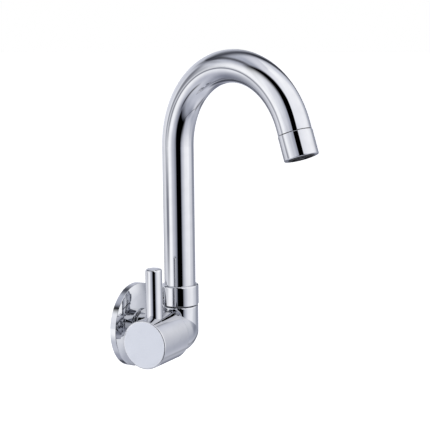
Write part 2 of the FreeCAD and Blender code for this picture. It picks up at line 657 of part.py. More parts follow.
spindle_washer = turned("spindle_washer", AT_VALVE, ring(
    "stem_radius + 0.1", FOOT_OUT, FOOT_TOP, STOP_LEVEL))
node("spindle_washer", spindle_washer)

clip = turned("spindle_clip", AT_VALVE, ring(
    "stem_radius - 0.95", "stem_radius + clip_reach", NOSE_END + " + 0.1", CLIP_END + " + 0.1"))
clip_mouth = new_sketch(clip, "clip_mouth", "XY_Plane", NOSE_END)
draw_outline(clip_mouth, [("0", "-stem_radius * 0.6"), ("stem_radius + 3", "-stem_radius * 0.6"),
                          ("stem_radius + 3", "stem_radius * 0.6"), ("0", "stem_radius * 0.6")])
take(clip, clip_mouth, "clip_thick + 1", back=True)
node("spindle_clip", clip)

housing = turned("cartridge_housing", AT_VALVE, [
    (CAGE_BORE, "seat_level + 1.5"),
    (CAGE_OUT, "seat_level + 1.5"),
    (CAGE_OUT, "barrel_end + 0.9"),
    (f"{THREAD} - thread_gap - 0.6", "barrel_end + 0.9"),
    (f"{THREAD} - thread_gap", "barrel_end + 1.5"),
    (f"{THREAD} - thread_gap", HEAD_LEVEL),
    (HEAD_OUT, HEAD_LEVEL),
    (HEAD_OUT, HEX_LEVEL),
    (NOSE_OUT, HEX_LEVEL),
    (NOSE_OUT, NOSE_END),
    (STEM_HOLE, NOSE_END),
    (STEM_HOLE, STOP_LEVEL),
    (CAGE_BORE, STOP_LEVEL),
])
hexagon = new_sketch(housing, "housing_hexagon", "XY_Plane", HEX_LEVEL)
HEX_CORNER = f"({HEAD_OUT} - hex_inset)"
HEX_HALF = f"({HEX_CORNER} * sqrt(3) / 2)"
draw_outline(hexagon, [
    (HEX_CORNER, "0"), (HEX_CORNER + " / 2", HEX_HALF), ("-" + HEX_CORNER + " / 2", HEX_HALF),
    ("-" + HEX_CORNER, "0"), ("-" + HEX_CORNER + " / 2", "-" + HEX_HALF),
    (HEX_CORNER + " / 2", "-" + HEX_HALF)])
draw_circle(hexagon, "0", "0", STEM_HOLE)
give(housing, hexagon, "hex_height - 0.4")
WINDOW_LOW = MOVING_TOP + " - 0.4"
WINDOW_HIGH = STOP_LEVEL + " - 0.8"
for plane, label in (("XZ_Plane", "side_windows"), ("YZ_Plane", "top_windows")):
    window = new_sketch(housing, label, plane)
    draw_outline(window, [("-disc_radius * 0.55", WINDOW_LOW), ("disc_radius * 0.55", WINDOW_LOW),
                          ("disc_radius * 0.55", WINDOW_HIGH), ("-disc_radius * 0.55", WINDOW_HIGH)])
    take(housing, window, both=True)
key_slots = new_sketch(housing, "key_slots", "YZ_Plane")
draw_outline(key_slots, [("-1.35", "seat_level"), ("1.35", "seat_level"),
                         ("1.35", MOVING_LEVEL + " + 0.1"), ("-1.35", MOVING_LEVEL + " + 0.1")])
take(housing, key_slots, both=True)
node("cartridge_housing", housing)

gasket = turned("housing_gasket", AT_VALVE, ring(
    f"{THREAD} + 0.1", HEAD_OUT, NECK_END, HEAD_LEVEL))
node("housing_gasket", gasket)

# Handle: hub, pin lever, screw and cap
BOSS_BORE = "cap_boss + 0.03"
hub = turned("handle_hub", AT_VALVE, [
    (HUB_BORE, HUB_START),
    (HUB_OUT, HUB_START),
    (HUB_OUT, HUB_END),
    (f"{HUB_OUT} - hub_rim", HUB_END),
    (f"{HUB_OUT} - hub_rim", CAP_LEVEL),
    (BOSS_BORE, CAP_LEVEL),
    (BOSS_BORE, SCREW_SEAT),
    ("screw_radius + 0.2", SCREW_SEAT),
    ("screw_radius + 0.2", f"{SPLINE_END} + spline_gap"),
    (f"{SPLINE} - spline_depth + 0.06", f"{SPLINE_END} + spline_gap"),
    (f"{SPLINE} - spline_depth + 0.06", HUB_FLOOR),
    (HUB_BORE, HUB_FLOOR),
])
round_edges(hub, "hub_round", lambda e: circle_at(e, value(HUB_OUT), value(HUB_END)))
round_edges(hub, "hub_heel", lambda e: circle_at(e, value(HUB_OUT), value(HUB_START)))
groove = new_sketch(hub, "spline_groove", "XY_Plane", HUB_FLOOR)
draw_outline(groove, [
    (f"{SPLINE} - spline_depth - 0.1", "-(%s) - 0.08" % TOOTH),
    (f"{SPLINE} + 0.06", "-(%s) / 3 - 0.07" % TOOTH),
    (f"{SPLINE} + 0.06", "(%s) / 3 + 0.07" % TOOTH),
    (f"{SPLINE} - spline_depth - 0.1", "(%s) + 0.08" % TOOTH)])
groove_cut = take(hub, groove, f"{SPLINE_END} + spline_gap - {HUB_FLOOR}", back=True)
repeat(hub, groove_cut, "spline_teeth")
lever_pocket = new_sketch(hub, "lever_pocket", "YZ_Plane", LEVER_SEAT)
draw_circle(lever_pocket, "0", LEVER_PLACE, "lever_radius + 0.02")
take(hub, lever_pocket, "lever_sink + 1", back=True)
lever_hole = new_sketch(hub, "lever_hole", "YZ_Plane", f"{LEVER_SEAT} + 0.5")
draw_circle(lever_hole, "0", LEVER_PLACE, "stud_radius + 0.05")
take(hub, lever_hole, "stud_depth + 1.1")
node("handle_hub", hub)

cap = turned("hub_cap", AT_VALVE, [
    ("screw_head + 0.4", SCREW_SEAT + " + 0.8"),
    ("cap_boss", SCREW_SEAT + " + 0.8"),
    ("cap_boss", CAP_LEVEL),
    (f"{HUB_OUT} - hub_rim - 0.03", CAP_LEVEL),
    (f"{HUB_OUT} - hub_rim - 0.03", HUB_END),
    ("0", HUB_END),
    ("0", CAP_LEVEL + " + 0.4"),
    ("screw_head + 0.4", CAP_LEVEL + " + 0.4"),
])
node("hub_cap", cap)

AT_LEVER = AT_VALVE + (" * placement(vector(0; 0; %s); rotation(vector(0; 1; 0); 90))"
                       % link(LEVER_PLACE))
lever = turned("lever_pin", AT_LEVER, [
    ("0", f"{LEVER_SEAT} - stud_depth"),
    ("stud_radius - 0.4", f"{LEVER_SEAT} - stud_depth"),
    ("stud_radius", f"{LEVER_SEAT} - stud_depth + 0.4"),
    ("stud_radius", LEVER_SEAT),
    ("lever_radius", LEVER_SEAT),
    ("lever_radius", LEVER_TOP),
    ("0", LEVER_TOP),
])
round_edges(lever, "lever_round", lambda e: circle_at(e, value("lever_radius"), value(LEVER_TOP)))
node("lever_pin", lever)

screw = turned("handle_screw", AT_VALVE, [
    ("0", SCREW_SEAT + " - screw_length"),
    ("screw_radius - 0.4", SCREW_SEAT + " - screw_length"),
    ("screw_radius", SCREW_SEAT + " - screw_length + 0.4"),
    ("screw_radius", SCREW_SEAT),
    ("screw_head", SCREW_SEAT),
    ("screw_head", SCREW_SEAT + " + 1.5"),
    ("screw_head - 0.7", SCREW_SEAT + " + 2.3"),
    ("0", SCREW_SEAT + " + 2.3"),
])
cross = new_sketch(screw, "screw_cross", "XY_Plane", SCREW_SEAT + " + 2.3")
draw_outline(cross, [
    ("-2.0", "-0.4"), ("-0.4", "-0.4"), ("-0.4", "-2.0"), ("0.4", "-2.0"), ("0.4", "-0.4"),
    ("2.0", "-0.4"), ("2.0", "0.4"), ("0.4", "0.4"), ("0.4", "2.0"), ("-0.4", "2.0"),
    ("-0.4", "0.4"), ("-2.0", "0.4")])
take(screw, cross, "screw_head * 0.37")
node("handle_screw", screw)

# Swivel: washer, rings, bush, tube, collar and its screw
washer = turned("swivel_washer", AT_RISER, ring(
    TUBE_BORE + " + 0.1", f"{ELBOW} - shoulder_round", SHOULDER, TUBE_FOOT))
node("swivel_washer", washer)

HALF_GLAND = "(ring_gland + swivel_fit) / 2"
swivel_rings = o_rings("swivel_o_rings", AT_RISER, SPIGOT + " - ring_gland + " + HALF_GLAND,
                       HALF_GLAND + " - ring_slack", [RING_LOW, RING_HIGH])
node("swivel_o_rings", swivel_rings)

bush = turned("swivel_bush", AT_RISER, ring(
    SPIGOT + " - bush_depth + 0.02", TUBE_BORE + " - 0.03", BUSH_LOW + " + 0.05",
    BUSH_LOW + " + bush_height - 0.05"))
split = new_sketch(bush, "bush_split", "XY_Plane", BUSH_LOW)
draw_outline(split, [("0", "-0.6"), ("tube_radius", "-0.6"), ("tube_radius", "0.6"), ("0", "0.6")])
take(bush, split, "bush_height + 1", back=True)
node("swivel_bush", bush)

tube = new_body("spout_tube", AT_SPOUT)
path = new_sketch(tube, "tube_path", "XZ_Plane")
TIP_OUT = BEND_OUT.replace("Sizes.", "")
TIP_UP = BEND_UP.replace("Sizes.", "")
ARC_OUT = "arch_radius * (1 - cos(arch_sweep))"
ARC_UP = "arch_start + arch_radius * sin(arch_sweep)"
sweep = math.radians(value("arch_sweep"))
bend = Part.ArcOfCircle(
    Part.Circle(FreeCAD.Vector(value("arch_radius"), value("arch_start"), 0),
                FreeCAD.Vector(0, 0, 1), value("arch_radius")), math.pi - sweep, math.pi)
path.addGeometry(Part.LineSegment(FreeCAD.Vector(0, value(TUBE_FOOT), 0),
                                  FreeCAD.Vector(0, value("arch_start"), 0)), False)
path.addGeometry(bend, False)
path.addGeometry(Part.LineSegment(FreeCAD.Vector(value(ARC_OUT), value(ARC_UP), 0),
                                  FreeCAD.Vector(value(TIP_OUT), value(TIP_UP), 0)), False)
path.addConstraint(Sketcher.Constraint("Coincident", 0, 2, 1, 2))
path.addConstraint(Sketcher.Constraint("Coincident", 1, 1, 2, 1))
pin_point(path, 0, 1, "0", TUBE_FOOT)
pin_point(path, 0, 2, "0", "arch_start")
pin_point(path, 1, 3, "arch_radius", "arch_start")
bend_end = path.addConstraint(Sketcher.Constraint("DistanceY", -1, 1, 2, 1, value(ARC_UP)))
bind(path, "Constraints[%d]" % bend_end, ARC_UP)
pin_point(path, 2, 2, TIP_OUT, TIP_UP)
mouth = new_sketch(tube, "tube_mouth", "XY_Plane", TUBE_FOOT)
draw_circle(mouth, "0", "0", "tube_radius")
draw_circle(mouth, "0", "0", TUBE_BORE)
doc.recompute()
pipe = tube.newObject("PartDesign::AdditivePipe", "tube_sweep")
pipe.Profile = mouth
pipe.Spine = (path, ["Edge1", "Edge2", "Edge3"])
path.Visibility = False
mouth.Visibility = False
tube.Tip = pipe
grub_in_tube = new_sketch(tube, "tube_screw_hole", "YZ_Plane")
draw_circle(grub_in_tube, "0", GRUB_LEVEL, "grub_radius + 0.1")
take(tube, grub_in_tube, "tube_radius + 1")
node("spout_tube", tube)

collar = turned("spout_collar", AT_SPOUT, [
    ("tube_radius + 0.03", TUBE_FOOT),
    (COLLAR_OUT, TUBE_FOOT),
    (COLLAR_OUT, TUBE_FOOT + " + collar_height"),
    ("tube_radius + 0.03", TUBE_FOOT + " + collar_height"),
])
round_edges(collar, "collar_round", lambda e: circle_at(
    e, value(COLLAR_OUT), value(TUBE_FOOT + " + collar_height")))
round_edges(collar, "collar_heel", lambda e: circle_at(e, value(COLLAR_OUT), value(TUBE_FOOT)))
grub_in_collar = new_sketch(collar, "collar_screw_hole", "YZ_Plane")
draw_circle(grub_in_collar, "0", GRUB_LEVEL, "grub_radius + 0.05")
take(collar, grub_in_collar, f"{COLLAR_OUT} + 1")
node("spout_collar", collar)

AT_GRUB = AT_SPOUT + (" * placement(vector(0; 0; %s); rotation(vector(0; 1; 0); -90))"
                      % link(GRUB_LEVEL))
grub = turned("collar_screw", AT_GRUB, [
    ("0", SPIGOT + " - screw_groove + 0.2"),
    ("grub_radius * 0.65", SPIGOT + " - screw_groove + 0.2"),
    ("grub_radius * 0.65", TUBE_BORE + " + 0.1"),
    ("grub_radius", TUBE_BORE + " + 0.4"),
    ("grub_radius", f"{COLLAR_OUT} - 0.3"),
    ("0", f"{COLLAR_OUT} - 0.3"),
])
socket = new_sketch(grub, "grub_socket", "XY_Plane", f"{COLLAR_OUT} - 0.3")
KEY_CORNER = "grub_radius * 0.5"
KEY_HALF = "grub_radius * 0.433"
draw_outline(socket, [
    (KEY_CORNER, "0"), (KEY_CORNER + " / 2", KEY_HALF), ("-" + KEY_CORNER + " / 2", KEY_HALF),
    ("-" + KEY_CORNER, "0"), ("-" + KEY_CORNER + " / 2", "-" + KEY_HALF),
    (KEY_CORNER + " / 2", "-" + KEY_HALF)])
take(grub, socket, "grub_radius * 0.6")
node("collar_screw", grub)

# Outlet: ferrule, aerator housing and what it holds; local Z runs with the water
ferrule = turned("outlet_ferrule", AT_OUTLET, [
    (FERRULE_OUT + " - ferrule_wall", "-ferrule_inset"),
    (FERRULE_OUT, "-ferrule_inset"),
    (FERRULE_OUT, "ferrule_reach - 0.4"),
    (FERRULE_OUT + " - 0.4", "ferrule_reach"),
    (FERRULE_OUT + " - ferrule_wall", "ferrule_reach"),
])
node("outlet_ferrule", ferrule)

aerator = turned("aerator_housing", AT_OUTLET, [
    (HOUSING_BORE, "seam_gap"),
    (f"{OUTLET} - 0.2", "seam_gap"),
    (OUTLET, "seam_gap + 0.2"),
    (OUTLET, "outlet_length"),
    (LIP_BORE, "outlet_length"),
    (LIP_BORE, LIP_LEVEL),
    (HOUSING_BORE, LIP_LEVEL),
])
round_edges(aerator, "0.7", lambda e: circle_at(e, value(OUTLET), value("outlet_length")))
node("aerator_housing", aerator)

rubber = turned("aerator_washer", AT_OUTLET, ring(
    FERRULE_OUT + " - ferrule_wall - 0.3", FERRULE_OUT + " - 0.1", "ferrule_reach", INSERT_TOP, "0.2"))
node("aerator_washer", rubber)

INSERT_OUT = FERRULE_OUT + " - 0.05"
SPOUT_LIP = LIP_BORE + " - 0.1"
PLATE_SEAT = INSERT_TOP + " + plate_thick"
insert = turned("aerator_insert", AT_OUTLET, [
    (INSERT_OUT + " - insert_wall", INSERT_TOP),
    (INSERT_OUT, INSERT_TOP),
    (INSERT_OUT, LIP_LEVEL),
    (SPOUT_LIP, LIP_LEVEL),
    (SPOUT_LIP, "outlet_length + insert_bulge * 0.4"),
    (SPOUT_LIP + " - insert_bulge * 0.6", "outlet_length + insert_bulge"),
    (SPOUT_LIP + " - insert_wall", "outlet_length + insert_bulge"),
    (SPOUT_LIP + " - insert_wall", LIP_LEVEL + " - 0.8"),
    (INSERT_OUT + " - insert_wall", LIP_LEVEL + " - 0.8"),
])
GRID_REACH = SPOUT_LIP + " - insert_wall / 2"
for number, turn in enumerate((0, 60, 120)):
    along = "(%s) * cos(%d)" % (GRID_REACH, turn)
    aside = "(%s) * sin(%d)" % (GRID_REACH, turn)
    bar = new_sketch(insert, "insert_bar_%d" % (number + 1), "XY_Plane", LIP_LEVEL)
    draw_outline(bar, [
        ("%s - 0.35 * sin(%d)" % (along, turn), "%s + 0.35 * cos(%d)" % (aside, turn)),
        ("-(%s) - 0.35 * sin(%d)" % (along, turn), "-(%s) + 0.35 * cos(%d)" % (aside, turn)),
        ("-(%s) + 0.35 * sin(%d)" % (along, turn), "-(%s) - 0.35 * cos(%d)" % (aside, turn)),
        ("%s + 0.35 * sin(%d)" % (along, turn), "%s - 0.35 * cos(%d)" % (aside, turn)),
    ])
    give(insert, bar, "outlet_lip + insert_bulge * 0.5")
node("aerator_insert", insert)

PLATE_RADIUS = INSERT_OUT + " - insert_wall - 0.05"
diffuser = turned("aerator_diffuser", AT_OUTLET, ring(
    "0", PLATE_RADIUS, INSERT_TOP + " + 0.2", INSERT_TOP + " + 0.2 + plate_thick"))
for count, reach in (("outer_holes", "(%s) * 0.74" % PLATE_RADIUS),
                     ("inner_holes", "(%s) * 0.42" % PLATE_RADIUS)):
    holes = new_sketch(diffuser, "plate_" + count, "XY_Plane", INSERT_TOP)
    draw_circle(holes, reach, "0", "plate_thick * 0.5")
    repeat(diffuser, take(diffuser, holes, both=True), count)
node("aerator_diffuser", diffuser)

screens = []
for number, level in enumerate(("0.2 + plate_thick", "0.2 + plate_thick + screen_thick + 1.2")):
    low = "%s + %s" % (INSERT_TOP, level)
    screen = turned("screen_%d" % (number + 1), AT_OUTLET, ring(
        "0", PLATE_RADIUS, low, low + " + screen_thick"))
    screens.append(screen)
mesh_group = doc.addObject("Part::Compound", "aerator_screens")
mesh_group.Links = screens
node("aerator_screens", mesh_group)

doc.recompute()
faults = []
for obj in doc.Objects:
    if "Invalid" in obj.State or "Error" in obj.State:
        faults.append("%s %s" % (obj.Name, obj.State))
for name, obj in nodes:
    shape = obj.Shape
    if shape.isNull() or not shape.isValid() or not shape.Solids:
        faults.append("%s has no valid solid" % name)
    else:
        print("%-20s solids %d  volume %9.1f" % (name, len(shape.Solids), shape.Volume))
if faults:
    raise SystemExit("\n".join(faults))
for name, obj in nodes:
    obj.Shape.exportStep("parts/%s.step" % name)
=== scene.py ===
import math

import bpy
from mathutils import Matrix, Vector

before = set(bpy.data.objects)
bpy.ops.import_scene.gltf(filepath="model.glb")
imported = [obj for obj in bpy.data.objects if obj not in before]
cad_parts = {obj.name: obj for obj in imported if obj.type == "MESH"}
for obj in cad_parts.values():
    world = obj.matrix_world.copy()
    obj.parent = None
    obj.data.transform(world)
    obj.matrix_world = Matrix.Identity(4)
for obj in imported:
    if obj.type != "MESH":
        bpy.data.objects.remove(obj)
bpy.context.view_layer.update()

# A swivel spout sink tap, dressed and lit as in its photograph. Sizes are in millimetres.
MM = 0.001
WALL_REACH = 40.25          # wall to the axis of the riser and the handle
SHANK_BORE = 7.2            # radius
SHANK_CREST = 9.7           # radius past which the shank is thread
BORE_END = 25.5             # wall to the end of the bare bore
PLATE_END = 6.6             # wall to the end of the plating, under the flange
THREAD_START = 0.5          # wall to the first turn of the thread
THREAD_PITCH = 1.814
WAVE_TURN = math.pi / 10    # a wave texture's scale for one wave in each metre

# Colours that several finishes share
CHROME = "#CCCDD1"
BRASS, BRASS_SHADE, BRASS_STAIN = "#B89858", "#94763E", "#8A6A33"

# Studio
UP = (0, 0, 1)
LAVENDER = (-2.4, -1.2, 3.8)    # red, green and blue that mid grey gains, in levels
FLOOR_SIZE, FLOOR_LEVEL = 40000, -300
FLOOR_LIFT = 0.6            # light added to the floor for the camera alone
LAMP_PLACE = Vector((-600, -700, 1100))
LAMP_SIZE, LAMP_WATTS = 900, 12.0
MIRRORED_GAIN = 0.525       # how much brighter the cards are in a mirror

scene = bpy.context.scene
scene.view_settings.view_transform = "Standard"


def paint(hex_colour):
    """An sRGB hex colour as the linear colour that a node takes."""
    parts = [int(hex_colour[i:i + 2], 16) / 255 for i in (1, 3, 5)]
    return (*(p / 12.92 if p <= 0.04045 else ((p + 0.055) / 1.055) ** 2.4 for p in parts), 1.0)


def feed(tree, node, inputs):
    """Sets a node's inputs to numbers or hex colours, or links them to other nodes."""
    for socket, source in inputs.items():
        if isinstance(source, bpy.types.Node):
            source = source.outputs[0]
        if isinstance(source, bpy.types.NodeSocket):
            tree.links.new(source, node.inputs[socket])
        else:
            node.inputs[socket].default_value = paint(source) if isinstance(source, str) else source


def add(tree, kind, inputs=None, stops=(), **settings):
    """One node with its settings and links; stops are the (place, colour) pairs of a ramp."""
    made = tree.nodes.new(kind)
    for name, amount in settings.items():
        setattr(made, name, amount)
    if stops:
        ramp = made.color_ramp
        ramp.interpolation = "EASE"
        ramp.elements.remove(ramp.elements[1])
        ramp.elements[0].position = stops[0][0]
        for place, colour in stops[1:]:
            ramp.elements.new(place)
        for element, (place, colour) in zip(ramp.elements, stops):
            element.color = paint(colour)
    feed(tree, made, inputs or {})
    return made


# Camera, at the photograph's place, in millimetres and degrees from the tap
LOOK_AT = Vector((0, -58.95, 80))
DISTANCE, TURN, TILT, ROLL = 843.71, -60.42, 8.85, -0.63
SLIDE_RIGHT, SLIDE_UP = 9.05, 4.13
PHOTO_WIDTH, FOCUS = 430, 1209.95   # in pixels of the photograph
SENSOR_WIDTH = 36
turn, tilt, roll = (math.radians(v) for v in (TURN, TILT, ROLL))
back = Vector((math.sin(turn) * math.cos(tilt), -math.cos(turn) * math.cos(tilt), math.sin(tilt)))
level_right = Vector((math.cos(turn), math.sin(turn), 0))
level_up = back.cross(level_right)
right = math.cos(roll) * level_right + math.sin(roll) * level_up
up = -math.sin(roll) * level_right + math.cos(roll) * level_up
camera_data = bpy.data.cameras.new("photo_camera")
camera_data.sensor_width = SENSOR_WIDTH
camera_data.lens = FOCUS * SENSOR_WIDTH / PHOTO_WIDTH
camera_data.clip_start, camera_data.clip_end = 0.05, 60     # metres, past the floor's far edge
camera = bpy.data.objects.new("photo_camera", camera_data)
scene.collection.objects.link(camera)
camera_place = LOOK_AT + back * DISTANCE + right * SLIDE_RIGHT + up * SLIDE_UP
camera.matrix_world = (Matrix.Translation(camera_place * MM)
                       @ Matrix((right, up, back)).transposed().to_4x4())
scene.camera = camera


# Studio: a white tent of cards, black only in the slit where the camera looks in. It is drawn
# in the world by direction, turned so that X points to the camera, Y to its right and Z up.
# A direction is (degrees from the camera towards its right, degrees above the horizon), and
# the light of a card is its level from 0, black, to 100, white.
def card(level):
    """The colour of a card at this level: the greys lean to lavender, white and black don't."""
    lean = level * (100 - level) / 50 ** 2      # 1 at mid grey
    return "#" + "".join(f"{round((level + tint * lean) * 2.55):02X}" for tint in LAVENDER)


def build_studio():
    """The world: each card is laid over the ones before it, through soft-edged masks."""
    world = bpy.data.worlds.new("studio")
    scene.world = world
    world.use_nodes = True
    room = world.node_tree
    room.nodes.clear()
    toward = add(room, "ShaderNodeMapping", {
        "Vector": add(room, "ShaderNodeTexCoord").outputs["Generated"],
        "Rotation": (0, 0, math.radians(90 - TURN))})
    compass = add(room, "ShaderNodeTexGradient", {"Vector": toward},
                  gradient_type="RADIAL").outputs["Fac"]

    def look(spot):
        """The unit vector to a spot, turned to the right of the camera and raised."""
        side, rise = (math.radians(v) for v in spot)
        level = math.cos(rise)
        return Vector((math.cos(side) * level, math.sin(side) * level, math.sin(rise)))

    def cap(pole, start, full):
        """1 where a direction leans to the pole by full or more, 0 where it leans by start."""
        lean = add(room, "ShaderNodeVectorMath", {0: toward, 1: pole}, operation="DOT_PRODUCT")
        return add(room, "ShaderNodeMapRange", {
            "Value": lean.outputs["Value"], "From Min": start, "From Max": full},
            interpolation_type="SMOOTHSTEP")

    def above(rise, soft):
        """1 above a level line."""
        return cap(UP, math.sin(math.radians(rise - soft)), math.sin(math.radians(rise + soft)))

    def below(rise, soft):
        """1 below a level line."""
        return cap(UP, math.sin(math.radians(rise + soft)), math.sin(math.radians(rise - soft)))

    def left_of(low, high, soft):
        """1 on the left of the straight edge that goes up from low to high."""
        reach = math.sin(math.radians(soft))
        return cap(look(low).cross(look(high)).normalized(), -reach, reach)

    def within(spot, radius, soft):
        """1 inside the circle of this radius in degrees."""
        return cap(look(spot), math.cos(math.radians(radius + soft)),
                   math.cos(math.radians(radius - soft)))

    def ring(spot, radius, width):
        """Two masks that leave a circle of this radius, soft over width degrees on each side."""
        middle = math.cos(math.radians(radius))
        reach = math.sin(math.radians(radius)) * math.sin(math.radians(width))
        return cap(look(spot), middle - reach, middle), cap(look(spot), middle + reach, middle)

    def round_the_tap(*stops):
        """Levels along the horizon, from behind the tap on the left to behind it on the right."""
        return add(room, "ShaderNodeValToRGB", {"Fac": compass},
                   stops=[(side / 360 + 0.5, card(level)) for side, level in stops])

    def lay(under, over, *masks):
        """One colour over another where every mask is 1; a plain number thins the upper one."""
        shared = masks[0]
        for mask in masks[1:]:
            shared = add(room, "ShaderNodeMath", {0: shared, 1: mask}, operation="MULTIPLY")
        return add(room, "ShaderNodeMix", {0: shared, 6: under, 7: over},
                   data_type="RGBA").outputs[2]

    # walls of the tent: one band below the horizon, one along it, one above it, and the roof
    low_walls = round_the_tap(
        (-180, 59), (-150, 23), (-120, 53), (-90, 75), (-68, 79), (-45, 56), (-16, 28), (24, 10),
        (45, 75), (70, 81), (100, 68), (140, 77), (180, 44))
    walls = round_the_tap(
        (-180, 70), (-150, 87), (-130, 87), (-110, 94), (-92, 94), (-80, 100), (-60, 99),
        (-38, 77), (-16, 56), (22, 66), (36, 84), (55, 97), (82, 100), (105, 88), (130, 52),
        (155, 52), (180, 32))
    high_walls = round_the_tap(
        (-180, 74), (-140, 76), (-100, 70), (-78, 67), (-55, 78), (-25, 74), (20, 94), (60, 96),
        (110, 97), (140, 82), (180, 72))
    roof = round_the_tap(
        (-180, 85), (-90, 87), (0, 93), (90, 100), (180, 94))
    tent = lay(low_walls, walls, above(-21, 24))
    tent = lay(tent, high_walls, above(16, 22))
    tent = lay(tent, roof, above(68, 12))

    # dark gaps between the cards' upper edges and the roof, behind the tap on the left
    tent = lay(tent, card(22), *ring((-162, 3), 46, 22), above(28, 1), 0.92)
    tent = lay(tent, card(0), *ring((-75, -47), 88, 12), within((-110, 41), 23, 8), 0.76)
    tent = lay(tent, card(43), *ring((-14, 25), 90, 7), within((-110, 12), 26, 8), 0.56)

    # black slit where the camera looks in
    right_edge = left_of((12, 0), (12, 50), 2.5)
    left_end = left_of((-60, 40), (-60, 0), 1)
    black = card(0)
    tent = lay(tent, black, within((-32, 20), 46, 4), right_edge, above(6, 6))
    tent = lay(tent, black, left_of((24, -44), (21, 0), 3), left_end, above(-41, 1), below(10, 6))
    tent = lay(tent, black, right_edge, left_end, above(10, 6), below(52, 6))

    # card on the left, rounded at its upper corners
    upper_edge = left_of((-15, 0), (-27, 42), 1)
    face = round_the_tap(
        (-100, 76), (-88, 100), (-75, 98), (-60, 90), (-45, 84), (-25, 68), (0, 0))
    face = lay(lay(low_walls, walls, above(-26, 12)), face, above(-5, 1))
    tent = lay(tent, face, left_of((-35, -44), (-11, 0), 4), upper_edge, above(-50, 2),
               left_of((-95, 40), (-100, 0), 4), below(16, 15))
    tent = lay(tent, face, within((-47, 8), 34, 9), upper_edge, above(8, 3))

    # dark gap behind the tap on the right
    tent = lay(tent, card(17), *ring((-155, 17), 44, 15), within((172, 24), 29, 8))

    # table under the tap
    table = round_the_tap(
        (-180, 76), (-150, 64), (-120, 63), (-75, 83), (0, 66), (60, 58), (110, 87), (150, 78),
        (180, 83))
    tent = lay(tent, table, below(-50, 9))
    tent = lay(tent, card(79), below(-74, 16))

    # edges of the sheets on the table, then ends of cards behind the tap: each is a straight
    # soft line round a pole, seen only near its middle
    for level, pole, width, middle, reach, amount in (
            (0, (83, -36), 7, (-55, -46), 13, 0.86),
            (0, (73, 32), 1, (50, -59), 27, 0.94),
            (0, (106, 40), 9, (135, -51), 15, 0.98),
            (28, (-64, -7), 15, (-160, -35), 26, 1.0),
            (0, (14, 50), 5, (-122, 31), 25, 0.29),
            (26, (-9, 35), 8, (-102, 6), 10, 0.67),
            (41, (-93, 81), 6, (-88, -9), 10, 0.9),
            (0, (89, 43), 7, (157, -29), 10, 0.65)):
        tent = lay(tent, card(level), *ring(pole, 90, width), within(middle, reach, 8), amount)
    tent = lay(tent, card(70), within((180, -4), 12, 4), 0.83)

    # the camera sees plain white, and lit cards are brighter in a mirror than white paper is
    ray = add(room, "ShaderNodeLightPath")
    seen = lay(tent, card(100), ray.outputs["Is Camera Ray"])
    power = add(room, "ShaderNodeMath", {0: ray.outputs["Is Glossy Ray"], 1: MIRRORED_GAIN, 2: 1.0},
                operation="MULTIPLY_ADD")
    glow = add(room, "ShaderNodeBackground", {"Color": seen, "Strength": power})
    add(room, "ShaderNodeOutputWorld", {"Surface": glow})


build_studio()


def build_floor():
    """A pale paper floor far below the tap: white to the camera, darker in the tap's shadow."""
    bpy.ops.object.select_all(action="DESELECT")
    bpy.ops.mesh.primitive_plane_add(size=FLOOR_SIZE * MM, location=(0, 0, FLOOR_LEVEL * MM))
    floor = bpy.context.object
    floor.name = "paper_floor"
    floor.visible_glossy = False
    made, tree, shader, place = new_finish("white_paper")
    fibres = add(tree, "ShaderNodeTexNoise", {
        "Vector": place, "Scale": 1 / (4 * MM), "Detail": 3.0})
    seen = add(tree, "ShaderNodeLightPath").outputs["Is Camera Ray"]
    feed(tree, shader, {
        "Base Color": add(tree, "ShaderNodeValToRGB", {"Fac": fibres},
                          stops=((0.3, "#F4F4F3"), (0.7, "#F8F8F8"))),
        "Roughness": 0.9,
        "Emission Color": "#FFFFFF",
        "Emission Strength": add(tree, "ShaderNodeMath", {0: seen, 1: FLOOR_LIFT},
                                 operation="MULTIPLY")})
    floor.data.materials.append(made)


def hang_lamp():
    """One large soft lamp over the left front. The mirror finishes show the studio alone."""
    lamp_data = bpy.data.lights.new("soft_lamp", "AREA")
    lamp_data.shape = "DISK"
    lamp_data.size = LAMP_SIZE * MM
    lamp_data.energy = LAMP_WATTS
    lamp = bpy.data.objects.new("soft_lamp", lamp_data)
    scene.collection.objects.link(lamp)
    aim = (LAMP_PLACE - LOOK_AT).to_track_quat("Z", "Y").to_matrix().to_4x4()
    lamp.matrix_world = Matrix.Translation(LAMP_PLACE * MM) @ aim
    lamp.visible_glossy = False


# Finishes
def new_finish(name):
    """A new material, its node tree and shader, and the place on the tap that its patterns read."""
    made = bpy.data.materials.new(name)
    made.use_nodes = True
    tree = made.node_tree
    tree.nodes.clear()
    shader = add(tree, "ShaderNodeBsdfPrincipled")
    add(tree, "ShaderNodeOutputMaterial", {"Surface": shader})
    return made, tree, shader, add(tree, "ShaderNodeTexCoord").outputs["Object"]


